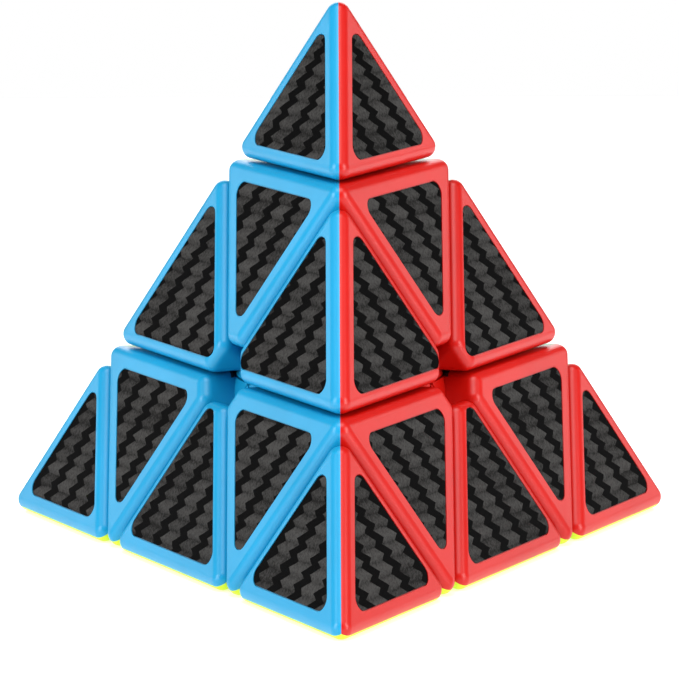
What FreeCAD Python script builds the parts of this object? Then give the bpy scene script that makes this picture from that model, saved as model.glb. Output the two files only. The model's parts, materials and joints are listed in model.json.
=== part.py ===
import FreeCAD, Part
import math
import os
from FreeCAD import Placement, Rotation, Vector

# Pyramid twisty puzzle: a regular tetrahedron cut into 4 tips, 4 axial pieces
# and 6 edge pieces around a core with four screwed axes.
#
# Millimetres, +Z up.  The origin is the centre of the core, where the four
# turning axes cross.  One axis points straight up, one points to the front
# (-Y), one to the right and one to the left.

# ---- driving dimensions -------------------------------------------------
EDGE_ACROSS = 98.0      # rounded corner to rounded corner along one edge
ROUND = 1.7             # rounding on every outside edge, and the shell wall
TIP_OUT = 0.7           # tips are cut this much further out than thirds of an edge
LAYER_IN = 0.9          # layers are cut this much nearer the core than thirds
TIP_GAP = 0.18          # tips and edge pieces are set back from each cut
AXIAL_GAP = 0.12        # axial pieces are smaller by this on every side
AXIAL_FLAT = 4.7        # axial corner cut off at the middle of a face
EDGE_FLAT = 4.0         # edge-piece corner cut off at the middle of a face

STICKER_FRAME = 2.75    # plastic frame left between a cut and the film
STICKER_RIM = 3.45      # plastic frame left along an edge of the pyramid
STICKER_CORNER = 1.5    # corner radius of the film
STICKER_THICK = 0.2
STICKER_RECESS = 0.25
STICKER_CLEAR = 0.12    # gap round the film inside its recess

BALL = 11.2             # core ball
FOOT_IN = 11.5          # feet run on the ball
FOOT_OUT = 16.1         # outside of the feet
UNDERSIDE = 16.4        # hollow underside of the axial pieces
FOOT_CUT = 5.5          # a layer's feet lie beyond this, more than FOOT_OUT / 3
FOOT_CLEAR = 0.3        # what stands still keeps this far short of FOOT_CUT
FOOT_END = 0.5          # cut off the thin end of a foot
POINT_START = 8.5       # how near the point under a third comes to its axis
SKIN_LEAN = 64.0        # degrees from the axis to the plane under a third

ARM = 3.2               # radius of a core arm
ARM_TOP = 13.6
SLEEVE_OUT = 5.2        # sleeve and spring cup of an axial hub
SLEEVE_IN = 3.5
CUP_IN = 4.1
SEAT = 14.0             # underside of the spring seat
SEAT_THICK = 1.8
FLOOR_THICK = 1.4       # spherical floor of an axial hub
CUP_CLEAR = 0.3         # tip collar round the cup
LIP = 0.85              # snap lip on top of the cup
LIP_HEIGHT = 1.2
LIP_GAP = 0.25          # between the lip and the tip's base

SCREW = 1.45            # shank radius
SCREW_HEAD = 3.1
SCREW_HEAD_HEIGHT = 1.9
SCREW_END = 5.0         # how near the shank ends to the centre
SCREW_BORE = 1.75       # clearance hole in the spring seat
WASHER = 3.6
WASHER_THICK = 0.5
SPRING = 2.9            # mean radius of the coil
SPRING_WIRE = 0.4
SPRING_TURNS = 4.5
SPRING_LENGTH = 6.4
SPRING_LIFT = 0.15      # running clearance over the seat
SLOT_LENGTH = 3.6       # cross slot in the screw head
SLOT_WIDTH = 0.8

# ---- the tetrahedron ----------------------------------------------------
SHARP_EDGE = EDGE_ACROSS + 2 * (math.sqrt(6) - 1) * ROUND
R = SHARP_EDGE / (2 * math.sqrt(6))     # centre to face
LAYER = R / 3 - LAYER_IN                # centre to a layer's cut
TIP = 5 * R / 3 + TIP_OUT               # centre to a tip's cut
BIG = 200.0
CENTRE = Vector(0, 0, 0)


def axis_at(azimuth):
    """Unit vector from the centre to one of the three lower corners."""
    a = math.radians(azimuth)
    flat = math.sqrt(8) / 3
    return Vector(flat * math.cos(a), flat * math.sin(a), -1 / 3)


AXIS = {
    "top": Vector(0, 0, 1),
    "front": axis_at(-90),
    "right": axis_at(30),
    "left": axis_at(150),
}
CORNERS = list(AXIS)
# each face is named by the corner opposite it
COLOUR = {"right": "blue", "left": "red", "front": "green", "top": "yellow"}


# ---- geometry helpers ---------------------------------------------------
def half_space(normal, distance):
    """A large block holding every point with x.normal > distance."""
    block = Part.makeBox(2 * BIG, 2 * BIG, BIG, Vector(-BIG, -BIG, 0))
    block.Placement = Placement(normal * distance, Rotation(Vector(0, 0, 1), normal))
    return block


def cell(planes):
    """Convex solid bounded by planes given as (outward normal, distance)."""
    shape = Part.makeBox(BIG, BIG, BIG, Vector(-BIG / 2, -BIG / 2, -BIG / 2))
    for normal, distance in planes:
        shape = shape.cut(half_space(normal, distance))
    return shape.Solids[0]


def shrunk(planes, by):
    return [(normal, distance - by) for normal, distance in planes]


def rounded(planes):
    """The cell of the planes with every edge and corner rounded by ROUND."""
    return cell(shrunk(planes, ROUND)).makeOffsetShape(ROUND, 1e-4, join=0)


def sector(planes, shape):
    """The part of a shape inside planes through or near the centre."""
    for normal, distance in planes:
        shape = shape.cut(half_space(normal, distance))
    return shape


def cylinder(corner, radius, low, high):
    """Solid cylinder along one axis, between two distances from the centre."""
    axis = AXIS[corner]
    return Part.makeCylinder(radius, high - low, axis * low, axis)


def ball(radius):
    return Part.makeSphere(radius, CENTRE)


def unit(vector):
    vector = Vector(vector)
    return vector.normalize()


def frame(first, second):
    """Rotation that carries Z to the first vector and the second near X."""
    side = second - first * second.dot(first)
    return Rotation(side, Vector(0, 0, 0), first, "ZXY")


def carried(shape, start, goal):
    """Copy of a shape turned so that one pair of corners becomes another."""
    turn = frame(AXIS[goal[0]], AXIS[goal[1]])
    turn = turn.multiply(frame(AXIS[start[0]], AXIS[start[1]]).inverted())
    copy = shape.copy()
    copy.Placement = Placement(CENTRE, turn).multiply(copy.Placement)
    return copy


def in_face(face, plane, inset):
    """Plane square to a face, through the line where another plane cuts it."""
    normal, distance = plane
    outward = AXIS[face] * -1
    lean = normal.dot(outward)
    side = normal - outward * lean
    return unit(side), (distance - lean * R) / side.Length - inset


def away_from(corner, face):
    """Direction in a face, pointing from a corner to the face's middle."""
    return unit((AXIS[corner] + AXIS[face] * (1 / 3)) * -1)


# ---- cells of the three kinds of piece ----------------------------------
def outer(faces):
    return [(AXIS[face] * -1, R) for face in faces]


def tip_planes(corner):
    faces = [c for c in CORNERS if c != corner]
    return outer(faces) + [(AXIS[corner] * -1, -(TIP + TIP_GAP))]


def axial_planes(corner):
    others = [c for c in CORNERS if c != corner]
    planes = [(n, d - AXIAL_GAP) for n, d in outer(others)]
    planes.append((AXIS[corner], TIP - AXIAL_GAP))
    planes.append((AXIS[corner] * -1, -(LAYER + AXIAL_GAP)))
    planes += [(AXIS[c], LAYER - AXIAL_GAP) for c in others]
    return planes


def edge_planes(ends):
    faces = [c for c in CORNERS if c not in ends]
    return outer(faces) + [(AXIS[c] * -1, -(LAYER + TIP_GAP)) for c in ends]


def axial_flats(corner):
    return [(away_from(corner, f), -AXIAL_FLAT) for f in CORNERS if f != corner]


def edge_flats(ends):
    faces = [c for c in CORNERS if c not in ends]
    flats = []
    for face, other in (faces, faces[::-1]):
        # the corner at this face's middle points towards the other face's corner
        flats.append((away_from(other, face) * -1, -EDGE_FLAT))
    return flats


# ---- stickers -----------------------------------------------------------
def film(face, outline, grow, low, high):
    """Flat film with rounded corners, between two depths under a face."""
    outward = AXIS[face] * -1
    sides = [(normal, distance + grow) for normal, distance in outline]
    plate = cell(sides + [(outward, R - high), (outward * -1, -(R - low))])
    uprights = [
        e for e in plate.Edges
        if abs(unit(e.tangentAt(e.FirstParameter)).dot(outward)) > 0.999
    ]
    return plate.makeFillet(STICKER_CORNER + grow, uprights)


def sticker(face, outline, sink=0.0):
    """The film and the recess that it is stuck in."""
    bed = sink + STICKER_RECESS
    plate = film(face, outline, 0.0, bed, bed - STICKER_THICK)
    recess = film(face, outline, STICKER_CLEAR, bed, -1.0)
    return plate, recess


# ---- one third of a tip, on the face opposite "right" -------------------
def third(corner, face):
    """Planes that leave the third of a piece nearest one face."""
    return [(unit(AXIS[face] - AXIS[c]), 0.0) for c in CORNERS if c not in (corner, face)]


def make_tip():
    corner, face = "top", "right"
    planes = tip_planes(corner)
    shell = rounded(planes).cut(cell(shrunk(planes, ROUND)))
    shell = shell.cut(cylinder(corner, SLEEVE_OUT + CUP_CLEAR, LAYER, TIP + ROUND + 1))
    sides = [c for c in CORNERS if c not in (corner, face)]
    outline = [in_face(face, (AXIS[c] * -1, R), STICKER_RIM) for c in sides]
    outline.append(in_face(face, planes[-1], STICKER_FRAME))
    plate, recess = sticker(face, outline)
    return sector(third(corner, face), shell).cut(recess), plate


# ---- one third of an axial piece, and its hub ---------------------------
def skin_plane(corner, face):
    """Plane under a coloured third, clear of every foot that turns below it."""
    towards = away_from(corner, face)
    level = unit(towards - AXIS[corner] * towards.dot(AXIS[corner]))
    lean = math.radians(SKIN_LEAN)
    return AXIS[corner] * math.cos(lean) + level * math.sin(lean), UNDERSIDE


def make_axial():
    """A coloured third, its film, and the hub that holds three of them."""
    corner, face = "top", "right"
    sides = [c for c in CORNERS if c not in (corner, face)]
    planes = axial_planes(corner) + axial_flats(corner)
    body = rounded(planes)
    hollow = cell(shrunk(planes, ROUND))
    walls = body.cut(hollow).cut(ball(UNDERSIDE))
    walls = walls.cut(cylinder(corner, SLEEVE_OUT, LAYER, TIP + 1))
    normal, distance = skin_plane(corner, face)

    outline = [in_face(face, (AXIS[c], LAYER), STICKER_FRAME) for c in sides]
    outline.append(in_face(face, (AXIS[corner], TIP), STICKER_FRAME))
    plate, recess = sticker(face, outline, AXIAL_GAP)
    skin = sector(third(corner, face) + [(normal * -1, -distance)], walls).cut(recess)

    # a point under each third closes the floor of the hole in the face's middle
    level = unit(normal - AXIS[corner] * normal.dot(AXIS[corner]))
    reach = ball(FOOT_OUT).fuse(body.common(ball(UNDERSIDE + ROUND)))
    ends = [(away_from(corner, face), -FOOT_END), (level * -1, -POINT_START)]
    bounds = [(AXIS[c], FOOT_CUT - FOOT_CLEAR) for c in sides] + ends
    bounds += [(AXIS[corner] * -1, -FOOT_CUT), (normal, distance)]
    point = sector(bounds, reach.cut(ball(FOOT_IN)))

    inner = sector(third(corner, face) + [(normal, distance)], walls)
    hub = make_hub(corner, inner, hollow)
    for goal in CORNERS:
        if goal != corner:
            hub = hub.cut(carried(point, (corner, face), (corner, goal)))
    # the crumbs of skirt cut off beside each point are left out
    hub = max(hub.Solids, key=lambda solid: solid.Volume)
    return Part.makeCompound([skin, point]), plate, hub


def make_hub(corner, inner, hollow):
    """Black inner body: skirt, spherical floor, sleeve and cup."""
    lip_base = TIP + TIP_GAP + ROUND + LIP_GAP
    hub = ball(UNDERSIDE + FLOOR_THICK).cut(ball(UNDERSIDE)).common(hollow)
    for goal in CORNERS:
        if goal != corner:
            hub = hub.fuse(carried(inner, (corner, "right"), (corner, goal)))
    hub = hub.fuse(cylinder(corner, SLEEVE_OUT, FOOT_IN, lip_base + LIP_HEIGHT))
    hub = hub.fuse(cylinder(corner, SLEEVE_OUT + LIP, lip_base, lip_base + LIP_HEIGHT))
    hub = hub.cut(cylinder(corner, SLEEVE_IN, 0, SEAT))
    hub = hub.cut(cylinder(corner, SCREW_BORE, 0, TIP))
    return hub.cut(cylinder(corner, CUP_IN, SEAT + SEAT_THICK, BIG / 4))


# ---- half an edge piece -------------------------------------------------
def make_edge():
    """The coloured half of an edge piece on one face, with its foot."""
    face, other = "right", "left"
    ends = [c for c in CORNERS if c not in (face, other)]
    planes = edge_planes(ends) + edge_flats(ends)
    half = [(unit(AXIS[face] - AXIS[other]), 0.0)]
    hollow = cell(shrunk(planes, ROUND)).cut(ball(FOOT_OUT + ROUND))
    shell = rounded(planes).cut(hollow).cut(ball(FOOT_OUT))

    outline = [in_face(face, (AXIS[c] * -1, -LAYER), STICKER_FRAME) for c in ends]
    outline.append(in_face(face, (AXIS[other] * -1, R), STICKER_RIM))
    plate, recess = sticker(face, outline)
    shell = sector(half, shell).cut(recess)

    bounds = [(AXIS[c] * -1, -FOOT_CUT) for c in ends]
    bounds.append((away_from(other, face) * -1, -FOOT_END))
    foot = sector(half + bounds, ball(FOOT_OUT).cut(ball(FOOT_IN)))
    return Part.makeCompound([shell, foot]), plate


# ---- core and fastenings ------------------------------------------------
def make_core():
    """Ball with four arms, each bored for its screw."""
    core = ball(BALL)
    for corner in CORNERS:
        core = core.fuse(cylinder(corner, ARM, 0, ARM_TOP))
    for corner in CORNERS:
        core = core.cut(cylinder(corner, SCREW, SCREW_END, ARM_TOP + 1))
    return core


def make_screw(corner, head_base):
    screw = cylinder(corner, SCREW, SCREW_END, head_base)
    screw = screw.fuse(cylinder(corner, SCREW_HEAD, head_base, head_base + SCREW_HEAD_HEIGHT))
    for length, width in ((SLOT_LENGTH, SLOT_WIDTH), (SLOT_WIDTH, SLOT_LENGTH)):
        slot = Part.makeBox(length, width, BIG, Vector(-length / 2, -width / 2, 0))
        base = head_base + SCREW_HEAD_HEIGHT / 2
        slot.Placement = Placement(AXIS[corner] * base, Rotation(Vector(0, 0, 1), AXIS[corner]))
        screw = screw.cut(slot)
    return screw


def make_spring(corner, low, high):
    """Coil with ends ground flat."""
    axis = AXIS[corner]
    rise = (high - low) / SPRING_TURNS
    coil = Part.makeHelix(rise, high - low, SPRING)
    section = Part.Wire([Part.makeCircle(SPRING_WIRE, Vector(SPRING, 0, 0), Vector(0, 1, 0))])
    spring = Part.Wire(coil.Edges).makePipeShell([section], True, False)
    spring.Placement = Placement(axis * low, Rotation(Vector(0, 0, 1), axis))
    return sector([(axis, high), (axis * -1, -low)], spring)


def make_washer(corner, base):
    ring = cylinder(corner, WASHER, base, base + WASHER_THICK)
    return ring.cut(cylinder(corner, SCREW, base - 1, base + 1))


# ---- every piece in its place -------------------------------------------
def save(name, shape):
    shape.exportStep(os.path.join("parts", name + ".step"))
    print(name, len(shape.Solids), "solids", round(shape.Volume, 1), "mm3", shape.isValid())


def others(corner):
    return [c for c in CORNERS if c != corner]


os.makedirs("parts", exist_ok=True)

tip_third, tip_film = make_tip()
axial_third, axial_film, axial_hub = make_axial()
edge_half, edge_film = make_edge()

for corner in CORNERS:
    for face in others(corner):
        goal = (corner, face)
        save(f"tip_{corner}_{COLOUR[face]}", carried(tip_third, ("top", "right"), goal))
        save(f"axial_{corner}_{COLOUR[face]}", carried(axial_third, ("top", "right"), goal))
    goals = [(corner, face) for face in others(corner)]
    for kind, film_shape in (("tip", tip_film), ("axial", axial_film)):
        films = [carried(film_shape, ("top", "right"), goal) for goal in goals]
        save(f"{kind}_{corner}_stickers", Part.makeCompound(films))
    save(f"axial_{corner}_hub", carried(axial_hub, ("top", "right"), goals[0]))

for number, first in enumerate(CORNERS):
    for second in CORNERS[number + 1:]:
        name = f"edge_{first}_{second}"
        faces = [c for c in CORNERS if c not in (first, second)]
        pairs = (faces, faces[::-1])
        films = []
        for face, other in pairs:
            save(f"{name}_{COLOUR[face]}", carried(edge_half, ("right", "left"), (face, other)))
            films.append(carried(edge_film, ("right", "left"), (face, other)))
        save(f"{name}_stickers", Part.makeCompound(films))

spring_low = SEAT + SEAT_THICK + SPRING_LIFT
spring_high = SEAT + SEAT_THICK + SPRING_LENGTH
save("core", make_core())
save("axis_screws", Part.makeCompound([make_screw(c, spring_high + WASHER_THICK) for c in CORNERS]))
save("screw_washers", Part.makeCompound([make_washer(c, spring_high) for c in CORNERS]))
save("tension_springs", Part.makeCompound([make_spring(c, spring_low, spring_high) for c in CORNERS]))
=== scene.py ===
import json
import math

import bpy
from mathutils import Matrix, Vector


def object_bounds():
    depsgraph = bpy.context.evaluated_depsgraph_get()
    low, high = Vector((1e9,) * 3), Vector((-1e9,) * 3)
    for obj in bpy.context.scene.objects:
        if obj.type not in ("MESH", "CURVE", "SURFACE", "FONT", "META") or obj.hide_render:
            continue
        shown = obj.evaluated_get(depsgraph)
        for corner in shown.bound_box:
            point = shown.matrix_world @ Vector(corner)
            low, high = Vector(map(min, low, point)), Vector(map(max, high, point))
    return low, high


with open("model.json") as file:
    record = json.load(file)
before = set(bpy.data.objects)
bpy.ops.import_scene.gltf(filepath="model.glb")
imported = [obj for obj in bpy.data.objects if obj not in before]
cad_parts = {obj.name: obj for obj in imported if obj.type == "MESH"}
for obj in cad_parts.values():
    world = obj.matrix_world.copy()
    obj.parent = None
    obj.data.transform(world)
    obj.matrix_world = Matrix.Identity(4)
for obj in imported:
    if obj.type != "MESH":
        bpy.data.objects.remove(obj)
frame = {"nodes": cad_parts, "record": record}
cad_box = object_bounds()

# Pyramid twisty puzzle: camera, light, floor and the finish of every piece.
# Metres, +Z up.  The origin is the centre of the core.

# ---- camera -------------------------------------------------------------
CAMERA_AZIMUTH = -0.1       # degrees, from straight in front
CAMERA_ELEVATION = 11.3     # degrees above the core
CAMERA_DISTANCE = 0.7       # from the core
CAMERA_AIM = 0.0107         # height over the core that the camera points at
CAMERA_ROLL = -0.2          # degrees
CAMERA_LENS = 254.0         # mm, on a 36 mm sensor

# ---- light --------------------------------------------------------------
AMBIENT = 0.15              # light from all round, where the backdrop is 1
SUN = 2.0                   # overhead wash that keeps the floor white
SUN_SPREAD = 40.0           # degrees
SUN_PLACE = (0, -0.3, 1)
# softboxes: place (x is mirrored for the left one of a pair), width, height, watts
FRONT_SOFTBOX = ((0.6, -0.45, 0.25), 0.25, 0.6, 4.6)
REAR_SOFTBOX = ((0.61, 0.36, 0.16), 0.12, 0.3, 0.42)
BACK_FILL = ((0.0, 0.7, 0.3), 0.6, 0.4, 2.5)
SOFTBOX_TARGET = (0, 0, 0.01)

# ---- floor --------------------------------------------------------------
FLOOR_HALF = 0.5
FLOOR_GLOW = 0.45           # floor lit from below, like a light table
FLOOR_DROP = 0.00005        # the floor lies this far under the base face

# ---- colours, linear ----------------------------------------------------
BLUE = (0.005, 0.29, 0.54)
RED = (0.53, 0.005, 0.002)
GREEN = (0.016, 0.46, 0.06)
LIME = (0.62, 0.80, 0.02)
HUB_BLACK = (0.012, 0.012, 0.013)
CORE_WHITE = (0.62, 0.61, 0.58)
STEEL = (0.55, 0.55, 0.57)
POLISH = (0.33, 0.36)       # roughness range of the coloured plastic
THREAD = (0.031, 0.030, 0.029)
THREAD_SHADE = (0.0006, 0.0006, 0.0006)

# ---- carbon-look film, in millimetres -----------------------------------
STRIPE_PITCH = 5.8          # across, from one pale stripe to the next
STRIPE_PALE = 0.6           # share of the pitch that is pale
STEP = 2.15                 # down, from one step of a stripe's zigzag to the next
STEP_OUT = 2.2              # how far a step moves to the left
STEP_BACK = 1.0             # and back to the right
STEP_TURN = 0.63            # share of a step that moves to the left
WANDER = 0.16               # how far the weave strays from its grid
FACE_LEAN = 0.02            # up leans a little off vertical, so that the flat base has axes too
RIGHT_FACE = 0.1            # the weave is mirrored where the normal points right by more than this
THREAD_WIDTH = 0.42
MILLIMETRES = 1000.0        # in a metre


class Shader:
    """A material's node tree, with short calls for the nodes used here."""

    def __init__(self, name):
        self.material = bpy.data.materials.new(name)
        self.material.use_nodes = True
        self.nodes = self.material.node_tree.nodes
        self.links = self.material.node_tree.links
        self.surface = self.nodes["Principled BSDF"]

    def feed(self, socket, value):
        if isinstance(value, bpy.types.NodeSocket):
            self.links.new(value, socket)
        else:
            socket.default_value = value

    def maths(self, operation, first, second=None):
        node = self.nodes.new("ShaderNodeMath")
        node.operation = operation
        self.feed(node.inputs[0], first)
        if second is not None:
            self.feed(node.inputs[1], second)
        return node.outputs[0]

    def vector(self, operation, first, second=None, output=0):
        node = self.nodes.new("ShaderNodeVectorMath")
        node.operation = operation
        self.feed(node.inputs[0], first)
        if second is not None:
            self.feed(node.inputs[1], second)
        return node.outputs[output]

    def coordinates(self, output="Object"):
        return self.nodes.new("ShaderNodeTexCoord").outputs[output]

    def noise(self, scale, detail=2.0, roughness=0.5, vector=None):
        node = self.nodes.new("ShaderNodeTexNoise")
        node.inputs["Scale"].default_value = scale
        node.inputs["Detail"].default_value = detail
        node.inputs["Roughness"].default_value = roughness
        self.links.new(vector or self.coordinates(), node.inputs["Vector"])
        return node.outputs["Fac"]

    def span(self, value, low, high, start=0.0, end=1.0):
        """A value between start and end, mapped to the range low to high."""
        node = self.nodes.new("ShaderNodeMapRange")
        self.feed(node.inputs["Value"], value)
        node.inputs["From Min"].default_value = start
        node.inputs["From Max"].default_value = end
        node.inputs["To Min"].default_value = low
        node.inputs["To Max"].default_value = high
        return node.outputs["Result"]

    def blend(self, factor, first, second):
        """Colour that goes from the first to the second."""
        node = self.nodes.new("ShaderNodeMix")
        node.data_type = "RGBA"
        self.feed(node.inputs["Factor"], factor)
        for socket, colour in ((node.inputs[6], first), (node.inputs[7], second)):
            if isinstance(colour, bpy.types.NodeSocket):
                self.links.new(colour, socket)
            else:
                socket.default_value = (*colour, 1.0)
        return node.outputs[2]

    def bump(self, height, distance, strength=1.0):
        node = self.nodes.new("ShaderNodeBump")
        node.inputs["Strength"].default_value = strength
        node.inputs["Distance"].default_value = distance
        self.links.new(height, node.inputs["Height"])
        self.links.new(node.outputs["Normal"], self.surface.inputs["Normal"])

    def set(self, **values):
        for name, value in values.items():
            self.feed(self.surface.inputs[name.replace("_", " ")], value)


def shade(colour, by):
    return tuple(channel * by for channel in colour)


# ---- materials ----------------------------------------------------------
def moulded_plastic(name, colour):
    """Glossy moulded plastic: faint flow clouds, fine grain, uneven polish."""
    shader = Shader(name)
    clouds = shader.noise(70.0, 3.0)
    tone = shader.span(clouds, 0.0, 1.0, 0.3, 0.7)
    shader.set(Base_Color=shader.blend(tone, shade(colour, 0.93), shade(colour, 1.05)))
    polish = shader.noise(900.0, 3.0, 0.6)
    shader.set(Roughness=shader.span(polish, *POLISH, 0.3, 0.7), Specular_IOR_Level=0.42)
    shader.bump(shader.noise(130.0, 1.0), 0.00003, 0.3)
    return shader.material


def matt_plastic(name, colour, grain_size):
    """Matt moulded plastic with a spark-eroded grain."""
    shader = Shader(name)
    grain = shader.noise(1.0 / grain_size, 4.0, 0.6)
    tone = shader.span(grain, 0.0, 1.0, 0.3, 0.7)
    shader.set(Base_Color=shader.blend(tone, shade(colour, 0.85), shade(colour, 1.15)))
    shader.set(Roughness=shader.span(grain, 0.45, 0.65, 0.3, 0.7))
    shader.bump(grain, 0.00004)
    return shader.material


def plated_steel(name, colour, roughness):
    """Bright steel with fine drawn lines and slight staining."""
    shader = Shader(name)
    place = shader.coordinates()
    lines = shader.noise(1400.0, 3.0, 0.7, vector=shader.vector("MULTIPLY", place, (1.0, 1.0, 0.1)))
    stains = shader.noise(260.0, 3.0)
    shader.set(Base_Color=shader.blend(stains, shade(colour, 0.82), shade(colour, 1.12)))
    shader.set(Metallic=1.0, Roughness=shader.span(lines, roughness, roughness + 0.15, 0.3, 0.7))
    shader.bump(lines, 0.00001)
    return shader.material


def film_axes(shader):
    """Millimetres across and up within the face that a film lies on."""
    normal = shader.coordinates("Normal")
    across = shader.vector("NORMALIZE", shader.vector("CROSS_PRODUCT", (0.0, FACE_LEAN, 1.0), normal))
    up = shader.vector("CROSS_PRODUCT", normal, across)
    place = shader.vector("SCALE", shader.coordinates())
    place.node.inputs["Scale"].default_value = MILLIMETRES
    parts = shader.nodes.new("ShaderNodeSeparateXYZ")
    shader.links.new(normal, parts.inputs[0])
    right = shader.maths("GREATER_THAN", parts.outputs["X"], RIGHT_FACE)
    side = shader.maths("SUBTRACT", 1.0, shader.maths("MULTIPLY", right, 2.0))
    x = shader.maths("MULTIPLY", shader.vector("DOT_PRODUCT", place, across, 1), side)
    return x, shader.vector("DOT_PRODUCT", place, up, 1)


def zigzag(shader, down):
    """How far right a stripe's border is, and the number of its step."""
    step = shader.maths("FLOOR", down)
    within = shader.maths("SUBTRACT", down, step)
    out = shader.span(within, 0.0, -STEP_OUT, 0.0, STEP_TURN)
    back = shader.span(within, 0.0, STEP_BACK, STEP_TURN, 1.0)
    drift = shader.maths("MULTIPLY", step, STEP_BACK - STEP_OUT)
    return shader.maths("ADD", shader.maths("ADD", out, back), drift), step, within


def carbon_film(name):
    """Embossed film that looks like woven carbon: pale and dark stepped stripes, each pale patch with
    a painted highlight across its middle.
    """
    shader = Shader(name)
    x, y = film_axes(shader)
    wander = shader.span(shader.noise(420.0), -WANDER, WANDER, 0.3, 0.7)
    x = shader.maths("ADD", x, wander)
    down = shader.maths("MULTIPLY", shader.maths("ADD", y, wander), -1.0 / STEP)
    shift, step, within = zigzag(shader, down)
    place = shader.maths("DIVIDE", shader.maths("SUBTRACT", x, shift), STRIPE_PITCH)
    stripe = shader.maths("FLOOR", place)
    into_stripe = shader.maths("SUBTRACT", place, stripe)
    pale = shader.maths("LESS_THAN", into_stripe, STRIPE_PALE)

    cell = shader.nodes.new("ShaderNodeCombineXYZ")
    shader.links.new(step, cell.inputs[0])
    shader.links.new(stripe, cell.inputs[1])
    chance = shader.nodes.new("ShaderNodeTexWhiteNoise")
    shader.links.new(cell.outputs[0], chance.inputs["Vector"])
    # the threads of a patch lie along its slanting border
    lean = shader.maths("ADD", x, shader.maths("MULTIPLY", y, -STEP_OUT / (STEP * STEP_TURN)))
    strand = shader.maths("SINE", shader.maths("MULTIPLY", lean, 2 * math.pi / THREAD_WIDTH))
    fibre = shader.noise(2600.0, 3.0, 0.7)
    # bulge across each step: it raises the pale patches in the bump and also sets a painted highlight
    # in their colour
    crown_and_sheen = shader.maths("SINE", shader.maths("MULTIPLY", within, math.pi))
    light = shader.span(fibre, -0.42, 0.42, 0.3, 0.7)
    light = shader.maths("ADD", shader.span(strand, -0.1, 0.1, -1.0), light)
    light = shader.maths("ADD", light, shader.span(chance.outputs["Value"], -0.25, 0.25))
    # painted highlight: each patch is made lighter across the middle of its step, as if its bulge
    # caught the light
    light = shader.maths("ADD", light, shader.span(crown_and_sheen, 0.2, 0.62))

    lit = shader.blend(light, shade(THREAD, 0.35), shade(THREAD, 1.8))
    dark = shader.blend(fibre, shade(THREAD_SHADE, 0.6), shade(THREAD_SHADE, 2.2))
    shader.set(Base_Color=shader.blend(pale, dark, lit))
    shader.set(Roughness=shader.span(pale, 0.5, 0.6), Specular_IOR_Level=0.02)
    raised = shader.maths("MULTIPLY", pale, shader.span(crown_and_sheen, 0.6, 1.0))
    height = shader.maths("ADD", raised, shader.span(strand, 0.0, 0.15, -1.0))
    shader.bump(height, 0.00008, 0.8)
    return shader.material


MATERIALS = {
    "blue_plastic": moulded_plastic("blue_plastic", BLUE),
    "red_plastic": moulded_plastic("red_plastic", RED),
    "green_plastic": moulded_plastic("green_plastic", GREEN),
    "yellow_plastic": moulded_plastic("lime_plastic", LIME),
    "carbon_film": carbon_film("carbon_film"),
    "hub_plastic": matt_plastic("hub_plastic", HUB_BLACK, 0.0004),
    "core_plastic": matt_plastic("core_plastic", CORE_WHITE, 0.0005),
    "screw_steel": plated_steel("screw_steel", STEEL, 0.22),
    "washer_steel": plated_steel("washer_steel", shade(STEEL, 1.1), 0.28),
    "spring_steel": plated_steel("spring_steel", shade(STEEL, 0.85), 0.2),
}


def finish_pieces():
    for piece in frame["record"]["subparts"]:
        mesh = frame["nodes"][piece["node"]].data
        mesh.materials.clear()
        mesh.materials.append(MATERIALS[piece["material_slot"]])


# ---- camera, light and floor --------------------------------------------
def looking(place, target, roll=0.0):
    """Placement at one point, facing another."""
    turn = (target - place).to_track_quat("-Z", "Y").to_matrix().to_4x4()
    turn.translation = place
    return turn @ Matrix.Rotation(math.radians(roll), 4, "Z")


def add_camera():
    azimuth, elevation = math.radians(CAMERA_AZIMUTH), math.radians(CAMERA_ELEVATION)
    back = Vector((
        math.sin(azimuth) * math.cos(elevation),
        -math.cos(azimuth) * math.cos(elevation),
        math.sin(elevation),
    ))
    data = bpy.data.cameras.new("camera")
    data.lens = CAMERA_LENS
    data.sensor_width = 36.0
    camera = bpy.data.objects.new("camera", data)
    camera.matrix_world = looking(back * CAMERA_DISTANCE, Vector((0, 0, CAMERA_AIM)), CAMERA_ROLL)
    bpy.context.scene.collection.objects.link(camera)
    bpy.context.scene.camera = camera


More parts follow.
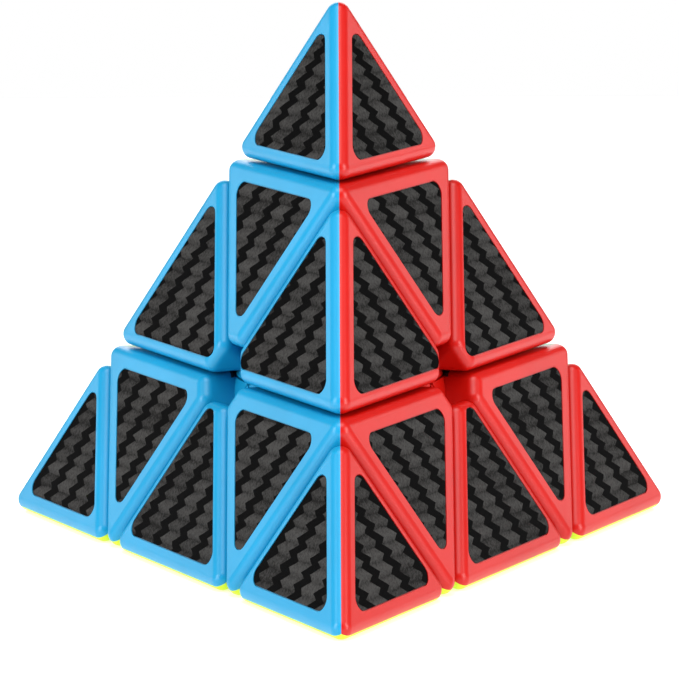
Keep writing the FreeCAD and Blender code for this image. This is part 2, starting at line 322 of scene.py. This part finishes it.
def add_softbox(name, across, place, width, height, power):
    """Area light; across is -1 to mirror its place to the left."""
    place = (across * place[0], place[1], place[2])
    data = bpy.data.lights.new(name, "AREA")
    data.shape = "RECTANGLE"
    data.size, data.size_y = width, height
    data.energy = power
    light = bpy.data.objects.new(name, data)
    light.matrix_world = looking(Vector(place), Vector(SOFTBOX_TARGET))
    bpy.context.scene.collection.objects.link(light)


def add_sun():
    data = bpy.data.lights.new("overhead_wash", "SUN")
    data.energy = SUN
    data.angle = math.radians(SUN_SPREAD)
    light = bpy.data.objects.new("overhead_wash", data)
    light.matrix_world = looking(Vector(SUN_PLACE), Vector((0, 0, 0)))
    bpy.context.scene.collection.objects.link(light)


def add_floor(level):
    half = FLOOR_HALF
    corners = [(-half, -half, level), (half, -half, level), (half, half, level), (-half, half, level)]
    mesh = bpy.data.meshes.new("floor")
    mesh.from_pydata(corners, [], [(0, 1, 2, 3)])
    floor = bpy.data.objects.new("floor", mesh)
    shader = Shader("white_floor")
    haze = shader.noise(6.0, 2.0)
    shader.set(Base_Color=shader.blend(haze, (0.93, 0.93, 0.935), (0.95, 0.95, 0.955)))
    shader.set(Roughness=0.15, Specular_IOR_Level=0.12)
    shader.set(Emission_Color=(1.0, 1.0, 1.0, 1.0), Emission_Strength=FLOOR_GLOW)
    mesh.materials.append(shader.material)
    bpy.context.scene.collection.objects.link(floor)


def add_studio():
    world = bpy.data.worlds.new("studio")
    world.use_nodes = True
    background = world.node_tree.nodes["Background"]
    background.inputs["Color"].default_value = (1.0, 1.0, 1.0, 1.0)
    # the backdrop looks white, and lights the object less than the softboxes do
    seen = world.node_tree.nodes.new("ShaderNodeLightPath").outputs["Is Camera Ray"]
    level = world.node_tree.nodes.new("ShaderNodeMapRange")
    level.inputs["To Min"].default_value = AMBIENT
    world.node_tree.links.new(seen, level.inputs["Value"])
    world.node_tree.links.new(level.outputs["Result"], background.inputs["Strength"])
    bpy.context.scene.world = world
    bpy.context.scene.view_settings.view_transform = "Standard"
    add_sun()
    for side, across in (("left", -1), ("right", 1)):
        add_softbox(f"{side}_front_softbox", across, *FRONT_SOFTBOX)
        add_softbox(f"{side}_rear_softbox", across, *REAR_SOFTBOX)
    add_softbox("back_fill", 1, *BACK_FILL)
    add_floor(cad_box[0].z - FLOOR_DROP)


add_camera()
add_studio()
finish_pieces()
